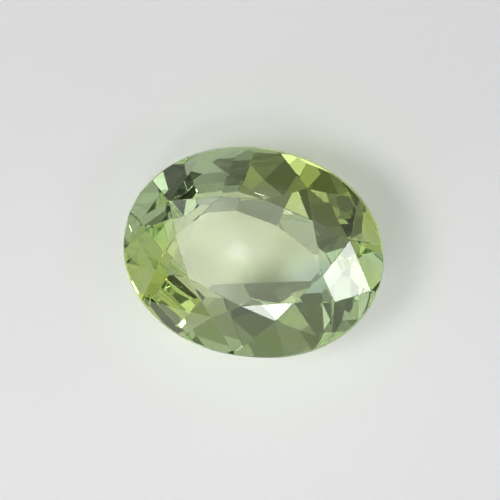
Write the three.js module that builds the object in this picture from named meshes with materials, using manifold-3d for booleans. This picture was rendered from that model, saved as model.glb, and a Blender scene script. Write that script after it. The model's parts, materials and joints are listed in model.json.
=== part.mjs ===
// An oval cut sapphire, loose, lying on the broad flat across its underside.
// Units are millimetres and +Z is up. The stone is ground from one oval blank, and every facet is a
// flat that the lap takes off it. It is worked out in the stone's own frame first, with the table
// facing +Z, the long axis along X and the girdle's upper edge at height zero. Then it is laid down.
import * as THREE from "three";
import { mergeVertices } from "three/addons/utils/BufferGeometryUtils.js";
import Module from "manifold-3d";

// Outline, seen square on to the table
const LENGTH = 6.0;
const WIDTH = 4.8;
const SQUARENESS = 2.06; // 2 is a true ellipse, and more fills out its shoulders
const OUTLINE_STEPS = 96;

// Heights
const CROWN_HEIGHT = 0.7;
const GIRDLE_HEIGHT = 0.14;
const GIRDLE_ROUNDING = 0.012; // share of the outline by which the girdle's two edges draw in
const BLANK_DEPTH = 3.0; // the blank below the girdle, deeper than the finished stone

// Crown mains, one for each corner of the table, as the hand cut them. The corner stands at a turn
// round the oval and at a share of the outline. The facet looks towards facing, and its point runs
// out at the share called tip.
const MAIN_SLOPE = 29.4;
const MAINS = [
  { turn: -10.5, share: 0.583, facing: -9, tip: 0.955 },
  { turn: 42.5, share: 0.577, facing: 52, tip: 0.985 },
  { turn: 85, share: 0.516, facing: 91, tip: 0.975 },
  { turn: 121, share: 0.551, facing: 118, tip: 0.962 },
  { turn: 176, share: 0.585, facing: 180, tip: 0.97 },
  { turn: 218.5, share: 0.543, facing: 242, tip: 0.975 },
  { turn: 269.5, share: 0.519, facing: 267, tip: 0.975 },
  { turn: 314.5, share: 0.556, facing: 308.5, tip: 0.985 },
];

// Share of the outline that the outer point of each star reaches. Star k lies between mains k and k + 1.
const STAR_REACH = [0.775, 0.76, 0.75, 0.76, 0.76, 0.7, 0.662, 0.762];

// Flat across the bottom: its depth under the girdle's upper edge on the stone's axis, and the degrees
// by which it leans along and across the stone. The stone lies on it.
const BOTTOM_DEPTH = 1.48;
const BOTTOM_LEAN = [-5, -3.5];

// Tier of small steep flats under the girdle. The outline shrinks to a share of itself over its fall.
const GIRDLE_TIER = { flats: 16, first: 1, share: 0.84, fall: 0.51 };

// Pavilion mains, as the hand cut them. Each looks towards facing, slopes by so many degrees and is at
// a share of the outline where it comes down to the bottom flat's depth.
const PAVILION_MAINS = [
  { facing: 20, slope: 29.5, share: 0.57 },
  { facing: 66, slope: 36.5, share: 0.35 },
  { facing: 85, slope: 37, share: 0.34 },
  { facing: 142, slope: 38.5, share: 0.48 },
  { facing: 178, slope: 30, share: 0.44 },
  { facing: 233, slope: 34, share: 0.38 },
  { facing: 275, slope: 40, share: 0.27 },
  { facing: 323, slope: 43, share: 0.51 },
];

// Facets that break the corners between the mains, given in the same way.
const PAVILION_BREAKS = [
  { facing: 34, slope: 29.5, share: 0.51 },
  { facing: 68.5, slope: 38.5, share: 0.44 },
  { facing: 110.5, slope: 41.5, share: 0.41 },
  { facing: 146, slope: 44.5, share: 0.49 },
  { facing: 202.5, slope: 41.5, share: 0.49 },
  { facing: 253, slope: 41, share: 0.51 },
  { facing: 299, slope: 38.5, share: 0.5 },
  { facing: 358.5, slope: 37.5, share: 0.57 },
];

const SAPPHIRE = new THREE.MeshStandardMaterial({ color: 0xb4c68c, roughness: 0.04, metalness: 0 });

const wasm = await Module();
wasm.setup();

const radians = THREE.MathUtils.degToRad;

// Point of the plan at a turn round the oval, drawn in to a share of the outline.
function planPoint(turn, share) {
  const c = Math.cos(radians(turn));
  const s = Math.sin(radians(turn));
  const fullness = (Math.abs(c) ** SQUARENESS + Math.abs(s) ** SQUARENESS) ** (-1 / SQUARENESS);
  return new THREE.Vector2((LENGTH / 2) * c, (WIDTH / 2) * s).multiplyScalar(share * fullness);
}

// How far the outline reaches from its middle in the direction of a facing.
function outlineReach(facing) {
  const power = SQUARENESS / (SQUARENESS - 1);
  const x = Math.abs((LENGTH / 2) * Math.cos(radians(facing)));
  const y = Math.abs((WIDTH / 2) * Math.sin(radians(facing)));
  return (x ** power + y ** power) ** (1 / power);
}

// Facing of the outline itself at a turn, square to its edge.
function outlineFacing(turn) {
  const c = Math.cos(radians(turn));
  const s = Math.sin(radians(turn));
  const x = Math.sign(c) * Math.abs(c) ** (SQUARENESS - 1) / LENGTH;
  const y = Math.sign(s) * Math.abs(s) ** (SQUARENESS - 1) / WIDTH;
  return THREE.MathUtils.radToDeg(Math.atan2(y, x));
}

// Flat that looks towards a facing, sloping down from level, through a point. Up is 1 on the crown
// and -1 on the pavilion.
function slopingFlat(facing, slope, point, up) {
  const out = Math.sin(radians(slope));
  const normal = new THREE.Vector3(
    out * Math.cos(radians(facing)),
    out * Math.sin(radians(facing)),
    up * Math.cos(radians(slope)),
  );
  return new THREE.Plane().setFromNormalAndCoplanarPoint(normal, point);
}

// Flat through three corners that faces away from the middle of the stone.
function flatThrough(a, b, c) {
  const flat = new THREE.Plane().setFromCoplanarPoints(a, b, c);
  return flat.constant > 0 ? flat.negate() : flat;
}

function heightOn(flat, plan) {
  const { normal, constant } = flat;
  return -(constant + normal.x * plan.x + normal.y * plan.y) / normal.z;
}

function pointOn(flat, plan) {
  return new THREE.Vector3(plan.x, plan.y, heightOn(flat, plan));
}

function tableCorner({ turn, share }) {
  const plan = planPoint(turn, share);
  return new THREE.Vector3(plan.x, plan.y, CROWN_HEIGHT);
}

function crownMain(main) {
  return slopingFlat(main.facing, MAIN_SLOPE, tableCorner(main), 1);
}

// Plan point where two neighbouring mains meet, at a share of the outline. The turn is halved in on.
function meetingPoint(left, right, reach, turns) {
  let [low, high] = turns;
  const gap = (turn) => {
    const plan = planPoint(turn, reach);
    return heightOn(left, plan) - heightOn(right, plan);
  };
  for (let step = 0; step < 40; step++) {
    const middle = (low + high) / 2;
    if (gap(middle) > 0 === gap(low) > 0) low = middle;
    else high = middle;
  }
  return pointOn(left, planPoint(low, reach));
}

function crownFlats() {
  const flats = [];
  MAINS.forEach((main, k) => {
    const next = MAINS[(k + 1) % MAINS.length];
    const nextTurn = next.turn < main.turn ? next.turn + 360 : next.turn;
    const mainFlat = crownMain(main);
    const nextFlat = crownMain(next);
    const apex = meetingPoint(mainFlat, nextFlat, STAR_REACH[k], [main.turn, nextTurn]);
    const tip = pointOn(mainFlat, planPoint(main.turn, main.tip));
    const nextTip = pointOn(nextFlat, planPoint(nextTurn, next.tip));
    const rim = planPoint((main.turn + nextTurn) / 2, 1);
    const rimPoint = new THREE.Vector3(rim.x, rim.y, 0);
    flats.push(mainFlat);
    flats.push(flatThrough(tableCorner(main), tableCorner(next), apex));
    flats.push(flatThrough(apex, tip, rimPoint));
    flats.push(flatThrough(apex, rimPoint, nextTip));
  });
  return flats;
}

// Flat of the pavilion that is at a share of the outline at a depth.
function pavilionFlat(facing, slope, share, depth) {
  const reach = share * outlineReach(facing);
  const x = reach * Math.cos(radians(facing));
  const y = reach * Math.sin(radians(facing));
  return slopingFlat(facing, slope, new THREE.Vector3(x, y, -depth), -1);
}

// All flats of the girdle tier fall by the same depth, so they slope less where the oval is longer.
function girdleTier() {
  const { flats, first, share, fall } = GIRDLE_TIER;
  return Array.from({ length: flats }, (_, k) => {
    const facing = outlineFacing(first + (360 / flats) * k);
    const run = (1 - share) * outlineReach(facing);
    const slope = THREE.MathUtils.radToDeg(Math.atan2(fall, run));
    return pavilionFlat(facing, slope, 1, GIRDLE_HEIGHT);
  });
}

function bottomFlat() {
  const [along, across] = BOTTOM_LEAN.map((lean) => Math.tan(radians(lean)));
  const normal = new THREE.Vector3(along, across, -1).normalize();
  const middle = new THREE.Vector3(0, 0, -BOTTOM_DEPTH);
  return new THREE.Plane().setFromNormalAndCoplanarPoint(normal, middle);
}

function pavilionFlats() {
  const facets = [...PAVILION_MAINS, ...PAVILION_BREAKS].map(({ facing, slope, share }) =>
    pavilionFlat(facing, slope, share, BOTTOM_DEPTH),
  );
  return [...girdleTier(), ...facets, bottomFlat()];
}

function toSolid(geometry) {
  geometry.deleteAttribute("normal");
  geometry.deleteAttribute("uv");
  const merged = mergeVertices(geometry, 1e-6);
  return new wasm.Manifold(
    new wasm.Mesh({
      numProp: 3,
      vertProperties: merged.attributes.position.array,
      triVerts: new Uint32Array(merged.index.array),
    }),
  );
}

function toGeometry(solid) {
  const { vertProperties, triVerts } = solid.getMesh();
  const geometry = new THREE.BufferGeometry();
  geometry.setAttribute("position", new THREE.BufferAttribute(vertProperties, 3));
  geometry.setIndex(new THREE.BufferAttribute(triVerts, 1));
  geometry.computeVertexNormals();
  return geometry;
}

// Oval blank with the table already flat on top and the girdle's edges drawn in.
function blank() {
  const edge = 1 - GIRDLE_ROUNDING;
  const profile = [
    [0, -GIRDLE_HEIGHT - BLANK_DEPTH],
    [edge, -GIRDLE_HEIGHT - BLANK_DEPTH],
    [edge, -GIRDLE_HEIGHT],
    [1, -GIRDLE_HEIGHT / 2],
    [edge, 0],
    [edge, CROWN_HEIGHT],
    [0, CROWN_HEIGHT],
  ].map(([share, height]) => new THREE.Vector2(share, height));
  const geometry = new THREE.LatheGeometry(profile, OUTLINE_STEPS).rotateX(Math.PI / 2);
  const position = geometry.attributes.position;
  for (let i = 0; i < position.count; i++) {
    const share = Math.hypot(position.getX(i), position.getY(i));
    const turn = THREE.MathUtils.radToDeg(Math.atan2(position.getY(i), position.getX(i)));
    const plan = planPoint(turn, share);
    position.setXY(i, plan.x, plan.y);
  }
  return toSolid(geometry);
}

// Takes off everything that stands proud of a flat.
function grind(stone, flat) {
  const size = 4 * LENGTH;
  const lap = new THREE.BoxGeometry(size, size, size).translate(0, 0, size / 2);
  const turned = new THREE.Quaternion().setFromUnitVectors(new THREE.Vector3(0, 0, 1), flat.normal);
  lap.applyQuaternion(turned);
  const foot = flat.normal.clone().multiplyScalar(-flat.constant);
  lap.translate(foot.x, foot.y, foot.z);
  return stone.subtract(toSolid(lap));
}

function cutStone() {
  const stone = [...crownFlats(), ...pavilionFlats()].reduce(grind, blank());
  const mesh = new THREE.Mesh(toGeometry(stone), SAPPHIRE);
  mesh.name = "sapphire";
  return mesh;
}

// Turns the stone until its bottom flat looks straight down, and stands it on the ground.
function laidDown(mesh) {
  const stone = new THREE.Group();
  stone.add(mesh);
  stone.quaternion.setFromUnitVectors(bottomFlat().normal, new THREE.Vector3(0, 0, -1));
  const box = new THREE.Box3().setFromObject(stone, true);
  const middle = box.getCenter(new THREE.Vector3());
  stone.position.set(-middle.x, -middle.y, -box.min.z);
  return stone;
}

const sapphireInPlace = new THREE.Group();
sapphireInPlace.add(laidDown(cutStone()));
export default sapphireInPlace;
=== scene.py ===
"""An oval cut sapphire on a pale floor, seen as in the photo. Metres, in the frame of the CAD model."""
import json
import math
import bpy
from mathutils import Matrix, Quaternion, Vector


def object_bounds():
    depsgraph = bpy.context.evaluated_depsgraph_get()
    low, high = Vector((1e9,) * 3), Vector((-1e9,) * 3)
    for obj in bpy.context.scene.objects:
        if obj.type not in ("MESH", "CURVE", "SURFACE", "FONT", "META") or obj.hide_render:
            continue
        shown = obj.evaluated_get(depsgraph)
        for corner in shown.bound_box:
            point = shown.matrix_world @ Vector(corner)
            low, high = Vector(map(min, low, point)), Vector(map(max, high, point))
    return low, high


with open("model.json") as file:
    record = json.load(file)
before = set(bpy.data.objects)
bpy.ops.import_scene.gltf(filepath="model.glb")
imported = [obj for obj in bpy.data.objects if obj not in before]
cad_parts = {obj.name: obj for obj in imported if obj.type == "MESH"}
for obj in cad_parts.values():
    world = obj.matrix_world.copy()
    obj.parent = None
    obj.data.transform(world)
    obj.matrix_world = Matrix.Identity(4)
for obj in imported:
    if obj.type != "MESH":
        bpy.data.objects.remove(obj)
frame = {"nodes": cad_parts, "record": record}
cad_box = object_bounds()

MM = 0.001
STONE = "sapphire"

# Where the stone's own parts are: the table's mount stands on the stone's axis
CROWN_HEIGHT = 0.70 * MM
table = next(mount for mount in frame["record"]["mounts"] if mount["name"] == "table")
TABLE_MIDDLE = Vector(table["pos_m"])
TABLE_NORMAL = Vector(table["axis"]).normalized()
GIRDLE_MIDDLE = TABLE_MIDDLE - CROWN_HEIGHT * TABLE_NORMAL

# Camera, with angles in degrees
VIEW_AZIMUTH = 8.7
VIEW_ELEVATION = 86.9
VIEW_ROLL = 1.0
VIEW_DISTANCE = 150 * MM
VIEW_NEAR = 1 * MM
VIEW_FAR = 2000 * MM
PIXELS = 500  # width and height of the picture
PIXELS_PER_MM = 43.8  # at the stone's girdle
GIRDLE_PIXEL = (252.9, 252.5)  # where the middle of the girdle shows
SENSOR = 36.0  # mm, the unit in which the camera's own settings count

# Studio round the stone. Each lamp and dark card is (right, up, radius, edge, amount): the degrees to the
# picture's right and top that it stands off the line of sight, how wide it looks from the stone, how soft
# its edge is, and the light that it adds or the share of the light that it takes. Beside each is the part
# of the picture that it mainly brightens or darkens. The first two lamps stand where their facets mirror
# them to the camera. A search that compared traced pictures with the photo gave the place, width and edge
# of seven other lamps and of seven cards. The rest, and all the amounts, were set one by one.
SKY = 0.56
LAMPS = (
    (45, -17.6, 4, 1.5, 9),  # mirrored by the bright kite
    (-9, -25.5, 3, 1, 9.5),  # mirrored by the bright star
    (65, 38, 3, 2, 1.6),  # pale facet at the upper left
    (-17, -30, 5, 4, 5),  # glints left of the window and below it
    (-49, -57, 8, 2, 1.5),  # mirrored by the crown at the lower left
    (12, 29, 2, 2, 2.2),  # spot at the window's upper left
    (-32, -50, 6, 6, 1.8),  # upper right rim
    (-25, 19, 4, 2, 1.4),  # yellow facet at the upper right
    (56, 5, 6, 2, 0.9),  # left corners of the table
    (-47, -4, 3, 2, 0.6),  # yellow facet by the window's upper right corner
)
CARDS = (
    (0, 0, 2, 2, 0.9),  # the lens itself
    (2, 62, 29, 6, 0.88),  # mirrored by the crown at the top
    (-50, -72, 33, 2, 0.85),  # facets inside the right rim
    (-85, 28, 12, 2, 0.9),  # right rim
    (74, -14, 16, 2, 0.9),  # upper left
    (50, 10, 19, 4, 0.9),  # left side
    (1, -7, 10, 9, 0.7),  # strips above and below the window
    (-62, 20, 18, 3, 0.7),  # right side
    (-16, 19, 14, 7, 0.6),  # top, and beside the star
    (-34, -9, 20, 2, 0.45),  # bottom, and strip at the window's upper right
    (25, -14, 9, 4, 0.3),  # lower left
)

# Soft lights that the table mirrors, as (x, y, radius, edge, light), by the point of the picture where
# their reflection shows. The veil's point is on its straight right edge.
TABLE_LIGHTS = (
    (252, 252, 1.4, 0.6, 1.1),  # pale light over the whole window
    (240, 252, 0.02, 0.12, 2.2),  # the small bright glint
    (246, 250, 0.03, 0.35, 1.6),  # the glow round it
)
VEIL = (236, 252, 0.8, 0.2, 1.5)  # over the window's left part

# Lamp that only lights the floor and casts the soft shadow to the picture's right
FLOOR_LAMP = {"right": -31, "up": -6, "distance": 120 * MM, "size": 50 * MM, "power": 0.044}

# Floor
FLOOR_HALF = 400 * MM
FLOOR_GAP = 0.01 * MM  # what dust and the paper's own roughness leave under the stone
FLOOR_PAPER = (0.82, 0.82, 0.825, 1)
FLOOR_ROUGHNESS = 0.9
FLOOR_PAINTED_SHADE_TOP = 0.87  # painted shade: share of the paper's colour that is left towards the picture's top, standing in for the floor's light falling off there
FLOOR_PAINTED_SHADE_FADE = 5 * MM  # how far from the stone's middle that painted shade begins and ends
FLOOR_GLOW = 0.28  # painted light: the paper glows of itself, standing in for light from a lit panel under it
BLACK = (0, 0, 0, 1)

# Crystal
REFRACTION = 1.77
ABSORBED = (0.22, 0.12, 0.30)  # share of red, green and blue that the crystal takes
ABSORPTION = 100.0  # per metre, times that share

# Colour zones, as straight growth bands across the stone. A tint is what light keeps of each colour when it
# has gone in through one face and out through another.
BAND_FACING = -50  # direction in plan, in degrees, in which the bands follow each other
YELLOW_FROM = -1.6 * MM
YELLOW_TO = 0.9 * MM
BAND_BLEND = 1.3 * MM  # over how far one band turns into the next
BAND_WAVER = 0.9 * MM  # how widely their borders stray, from one side to the other
WAVER_SCALE = 700  # waves per metre, roughly
WAVER_DETAIL = 2
NOISE_MIDDLE = 0.5  # the noise runs from 0 to 1 and the bands stray both ways
CORE_YELLOW = (0.955, 1.0, 0.73, 1)
CORE_BLUE = (0.80, 1.0, 0.92, 1)
RIM_YELLOW = (0.84, 1.0, 0.22, 1)
RIM_BLUE = (0.80, 1.0, 0.62, 1)
CORE_REACH = 0.5  # share of the outline inside which the paler core shows
RIM_REACH = 0.75  # share beyond which the full tone shows
DUSK = (0.56, 0.64, 0.38, 1)  # darker tint over a small soft round patch in the table's lower middle
DUSK_MIDDLE = (0.52 * MM, -0.65 * MM)
DUSK_REACH = (0.1 * MM, 0.8 * MM)  # where it begins and ends to fade

# Facet junctions and girdle
JUNCTION_WIDTH = 0.008 * MM
JUNCTION_ANGLE = 7  # degrees between facets from which their junction is a line
CORNER_GAP = 0.001 * MM  # corners nearer than this are one corner
FACET_BEND = 0.3  # degrees within which neighbouring triangles are one facet
GIRDLE_MATTE = 0.35  # its roughness, as it is ground and not polished
GIRDLE_LEAN = (0.45, 0.55)  # share of the stone's axis in a face's normal, on the girdle and off it

# How many times light may bounce in the stone before it is given up
BOUNCES = 24


def view_axes():
    """Unit vectors from the stone to the camera, to the picture's right and to its top."""
    turn = math.radians(VIEW_AZIMUTH)
    lift = math.radians(VIEW_ELEVATION)
    level = math.cos(lift)
    back = Vector((math.sin(turn) * level, -math.cos(turn) * level, math.sin(lift)))
    right = Vector((math.cos(turn), math.sin(turn), 0))
    right.rotate(Quaternion(back, math.radians(VIEW_ROLL)))
    return back, right, back.cross(right)


BACK, RIGHT, UP = view_axes()


def off_middle(x, y):
    """How far a point of the picture is from the picture's middle, measured at the stone."""
    return ((x - PIXELS / 2) * RIGHT + (PIXELS / 2 - y) * UP) / PIXELS_PER_MM * MM


def make_camera():
    data = bpy.data.cameras.new("camera")
    camera = bpy.data.objects.new("camera", data)
    bpy.context.scene.collection.objects.link(camera)
    camera.location = GIRDLE_MIDDLE - off_middle(*GIRDLE_PIXEL) + VIEW_DISTANCE * BACK
    camera.rotation_mode = "QUATERNION"
    camera.rotation_quaternion = Matrix((RIGHT, UP, BACK)).transposed().to_quaternion()
    data.sensor_width = SENSOR
    data.lens = SENSOR * VIEW_DISTANCE / (PIXELS / PIXELS_PER_MM * MM)
    data.clip_start = VIEW_NEAR
    data.clip_end = VIEW_FAR
    bpy.context.scene.camera = camera


def add(tree, kind, **settings):
    node = tree.nodes.new(kind)
    for name, value in settings.items():
        setattr(node, name, value)
    return node


def math_node(tree, operation, first, second):
    node = add(tree, "ShaderNodeMath", operation=operation)
    for socket, value in zip(node.inputs, (first, second)):
        if isinstance(value, (int, float)):
            socket.default_value = value
        else:
            tree.links.new(value, socket)
    return node.outputs[0]


def measured(tree, operation, vector, against):
    """A number worked out from a vector: its share along a direction or its distance from a point."""
    node = add(tree, "ShaderNodeVectorMath", operation=operation)
    tree.links.new(vector, node.inputs[0])
    node.inputs[1].default_value = against
    return node.outputs["Value"]


def scaled(tree, vector, factors):
    node = add(tree, "ShaderNodeVectorMath", operation="MULTIPLY")
    tree.links.new(vector, node.inputs[0])
    node.inputs[1].default_value = factors
    return node.outputs["Vector"]


def ramp(tree, value, low, high, at_low, at_high):
    """Eases from at_low to at_high while value goes from low to high."""
    node = add(tree, "ShaderNodeMapRange", interpolation_type="SMOOTHSTEP")
    tree.links.new(value, node.inputs["Value"])
    node.inputs["From Min"].default_value = low
    node.inputs["From Max"].default_value = high
    node.inputs["To Min"].default_value = at_low
    node.inputs["To Max"].default_value = at_high
    return node.outputs["Result"]


def off_sight(right, up):
    """Direction that stands so many degrees off the line of sight."""
    angle = math.radians(math.hypot(right, up))
    if not angle:
        return BACK.copy()
    side = (right * RIGHT + up * UP).normalized()
    return math.cos(angle) * BACK + math.sin(angle) * side


def mirrored_by_table(x, y):
    """Direction of what the table mirrors to the camera at a point of the picture."""
    sight = (off_middle(x, y) - VIEW_DISTANCE * BACK).normalized()
    return sight - 2 * sight.dot(TABLE_NORMAL) * TABLE_NORMAL


def veil_middle():
    """Direction of the middle of the light whose reflection ends at the veil's right edge."""
    x, y, radius, edge, _ = VEIL
    left = (mirrored_by_table(0, y) - mirrored_by_table(PIXELS, y)).normalized()
    return (mirrored_by_table(x, y) + math.tan(math.radians(radius + edge / 2)) * left).normalized()


def round_patch(tree, direction, towards, radius, edge):
    """1 inside a round patch of the sky, 0 outside it."""
    gap = measured(tree, "DISTANCE", direction, towards)
    inner = 2 * math.sin(math.radians(radius) / 2)
    outer = 2 * math.sin(math.radians(radius + edge) / 2)
    return ramp(tree, gap, inner, outer, 1, 0)


def lit_by(tree, direction, light, towards, radius, edge, amount):
    patch = round_patch(tree, direction, towards, radius, edge)
    return math_node(tree, "ADD", light, math_node(tree, "MULTIPLY", patch, amount))


def darkened_by(tree, direction, light, towards, radius, edge, amount):
    patch = round_patch(tree, direction, towards, radius, edge)
    kept = math_node(tree, "SUBTRACT", 1, math_node(tree, "MULTIPLY", patch, amount))
    return math_node(tree, "MULTIPLY", light, kept)


def make_sky():
    """Soft studio light from all round, with dark cards and lamps in it."""
    world = bpy.data.worlds.new("studio")
    bpy.context.scene.world = world
    world.use_nodes = True
    tree = world.node_tree
    tree.nodes.clear()
    direction = add(tree, "ShaderNodeTexCoord").outputs["Generated"]
    light = SKY
    for right, up, *patch in CARDS:
        light = darkened_by(tree, direction, light, off_sight(right, up), *patch)
    for right, up, *patch in LAMPS:
        light = lit_by(tree, direction, light, off_sight(right, up), *patch)
    for x, y, *patch in TABLE_LIGHTS:
        light = lit_by(tree, direction, light, mirrored_by_table(x, y), *patch)
    light = lit_by(tree, direction, light, veil_middle(), *VEIL[2:])
    background = add(tree, "ShaderNodeBackground")
    tree.links.new(light, background.inputs["Strength"])
    output = add(tree, "ShaderNodeOutputWorld")
    tree.links.new(background.outputs[0], output.inputs["Surface"])


def make_paper():
    material = bpy.data.materials.new("floor paper")
    material.use_nodes = True
    tree = material.node_tree
    shader = tree.nodes["Principled BSDF"]
    shader.inputs["Roughness"].default_value = FLOOR_ROUGHNESS
    place = add(tree, "ShaderNodeTexCoord").outputs["Object"]
    # painted shade: the paper's colour darkens towards the picture's top, standing in for the floor's light
    # falling off there
    painted_shade = ramp(tree, measured(tree, "DOT_PRODUCT", place, UP), -FLOOR_PAINTED_SHADE_FADE, FLOOR_PAINTED_SHADE_FADE, 1, FLOOR_PAINTED_SHADE_TOP)
    tree.links.new(mixed(tree, painted_shade, BLACK, FLOOR_PAPER), shader.inputs["Base Color"])
    # painted light: the paper glows of itself, which brightens the floor and what the window shows of it
    shader.inputs["Emission Color"].default_value = FLOOR_PAPER
    shader.inputs["Emission Strength"].default_value = FLOOR_GLOW
    return material


def make_floor():
    mesh = bpy.data.meshes.new("floor")
    around = ((-1, -1), (1, -1), (1, 1), (-1, 1))
    corners = [(x * FLOOR_HALF, y * FLOOR_HALF, -FLOOR_GAP) for x, y in around]
    mesh.from_pydata(corners, [], [(0, 1, 2, 3)])
    mesh.materials.append(make_paper())
    floor = bpy.data.objects.new("floor", mesh)
    bpy.context.scene.collection.objects.link(floor)
    return floor


def make_floor_lamp(floor):
    data = bpy.data.lights.new("floor lamp", "AREA")
    data.shape = "DISK"
    data.size = FLOOR_LAMP["size"]
    data.energy = FLOOR_LAMP["power"]
    lamp = bpy.data.objects.new("floor lamp", data)
    bpy.context.scene.collection.objects.link(lamp)
    towards = off_sight(FLOOR_LAMP["right"], FLOOR_LAMP["up"])
    lamp.location = GIRDLE_MIDDLE + FLOOR_LAMP["distance"] * towards
    lamp.rotation_mode = "QUATERNION"
    lamp.rotation_quaternion = (-towards).to_track_quat("-Z", "Y")
    lit = bpy.data.collections.new("lit by the floor lamp")
    lit.objects.link(floor)
    lamp.light_linking.receiver_collection = lit


def mixed(tree, factor, first, second):
    """Colour that goes from first to second as factor goes from 0 to 1."""
    node = add(tree, "ShaderNodeMix", data_type="RGBA")
    tree.links.new(factor, node.inputs["Factor"])
    for socket, value in zip((node.inputs["A"], node.inputs["B"]), (first, second)):
        if isinstance(value, tuple):
            socket.default_value = value
        else:
            tree.links.new(value, socket)
    return node.outputs["Result"]


def blue_share(tree, place):
    """0 in the yellow-green growth bands and 1 in the blue-green ones."""
    facing = math.radians(BAND_FACING)
    along = measured(tree, "DOT_PRODUCT", place, (math.cos(facing), math.sin(facing), 0))
    noise = add(tree, "ShaderNodeTexNoise")
    tree.links.new(place, noise.inputs["Vector"])
    noise.inputs["Scale"].default_value = WAVER_SCALE
    noise.inputs["Detail"].default_value = WAVER_DETAIL
    swing = math_node(tree, "SUBTRACT", noise.outputs["Fac"], NOISE_MIDDLE)
    band = math_node(tree, "ADD", along, math_node(tree, "MULTIPLY", swing, BAND_WAVER))
    before = ramp(tree, band, YELLOW_FROM - BAND_BLEND / 2, YELLOW_FROM + BAND_BLEND / 2, 1, 0)
    after = ramp(tree, band, YELLOW_TO - BAND_BLEND / 2, YELLOW_TO + BAND_BLEND / 2, 0, 1)
    return math_node(tree, "MAXIMUM", before, after)


def rim_share(tree, place):
    """0 in the stone's core and 1 towards its outline, seen in plan."""
    low, high = cad_box
    plan = scaled(tree, place, (2 / (high[0] - low[0]), 2 / (high[1] - low[1]), 0))
    reach = measured(tree, "DISTANCE", plan, (0, 0, 0))
    return ramp(tree, reach, CORE_REACH, RIM_REACH, 0, 1)


def dusk_share(tree, place):
    """1 in the middle of the darker patch and 0 outside it, seen in plan."""
    gap = measured(tree, "DISTANCE", scaled(tree, place, (1, 1, 0)), (*DUSK_MIDDLE, 0))
    return ramp(tree, gap, *DUSK_REACH, 1, 0)


def crystal_tint(tree, place):
    blue = blue_share(tree, place)
    core = mixed(tree, blue, CORE_YELLOW, CORE_BLUE)
    rim = mixed(tree, blue, RIM_YELLOW, RIM_BLUE)
    tint = mixed(tree, rim_share(tree, place), core, rim)
    return mixed(tree, dusk_share(tree, place), tint, DUSK)


def girdle_share(tree, normal):
    """1 on the girdle, whose surface stands nearly along the stone's axis, and 0 elsewhere."""
    lean = measured(tree, "DOT_PRODUCT", normal, TABLE_NORMAL)
    return ramp(tree, math_node(tree, "ABSOLUTE", lean, 0), *GIRDLE_LEAN, 1, 0)


def make_crystal():
    material = bpy.data.materials.new("sapphire crystal")
    material.use_nodes = True
    tree = material.node_tree
    shader = tree.nodes["Principled BSDF"]
    where = add(tree, "ShaderNodeTexCoord")
    tree.links.new(crystal_tint(tree, where.outputs["Object"]), shader.inputs["Base Color"])
    matte = math_node(tree, "MULTIPLY", girdle_share(tree, where.outputs["Normal"]), GIRDLE_MATTE)
    tree.links.new(matte, shader.inputs["Roughness"])
    shader.inputs["IOR"].default_value = REFRACTION
    shader.inputs["Transmission Weight"].default_value = 1.0
    absorb = add(tree, "ShaderNodeVolumeAbsorption")
    absorb.inputs["Color"].default_value = (*(1 - share for share in ABSORBED), 1)
    absorb.inputs["Density"].default_value = ABSORPTION
    tree.links.new(absorb.outputs[0], tree.nodes["Material Output"].inputs["Volume"])
    return material


def shade_flat(piece):
    """Shades every face flat, by a modifier that drops the mesh's stored normals."""
    group = bpy.data.node_groups.new("flat faces", "GeometryNodeTree")
    for way in ("INPUT", "OUTPUT"):
        group.interface.new_socket("Geometry", in_out=way, socket_type="NodeSocketGeometry")
    start = add(group, "NodeGroupInput")
    dropped = add(group, "GeometryNodeRemoveAttribute")
    dropped.inputs["Name"].default_value = "custom_normal"
    flat = add(group, "GeometryNodeSetShadeSmooth")
    flat.inputs["Shade Smooth"].default_value = False
    end = add(group, "NodeGroupOutput")
    group.links.new(start.outputs[0], dropped.inputs["Geometry"])
    group.links.new(dropped.outputs[0], flat.inputs["Geometry"])
    group.links.new(flat.outputs[0], end.inputs[0])
    piece.modifiers.new("flat faces", "NODES").node_group = group


def soften_junctions(stone):
    """A very narrow flat along each facet junction, as polishing leaves it."""
    shade_flat(stone)
    stone.modifiers.new("joined corners", "WELD").merge_threshold = CORNER_GAP
    facets = stone.modifiers.new("whole facets", "DECIMATE")
    facets.decimate_type = "DISSOLVE"
    facets.angle_limit = math.radians(FACET_BEND)
    edge = stone.modifiers.new("junctions", "BEVEL")
    edge.width = JUNCTION_WIDTH
    edge.segments = 1
    edge.limit_method = "ANGLE"
    edge.angle_limit = math.radians(JUNCTION_ANGLE)
    edge.use_clamp_overlap = False


def set_render():
    scene = bpy.context.scene
    scene.view_settings.view_transform = "Standard"
    scene.cycles.caustics_refractive = True
    scene.cycles.caustics_reflective = True
    scene.cycles.blur_glossy = 0
    scene.cycles.max_bounces = BOUNCES
    scene.cycles.transmission_bounces = BOUNCES
    scene.cycles.glossy_bounces = BOUNCES
    scene.cycles.use_denoising = True


make_camera()
make_sky()
make_floor_lamp(make_floor())
stone = frame["nodes"][STONE]
for slot in stone.material_slots:
    slot.material = make_crystal()
soften_junctions(stone)
set_render()
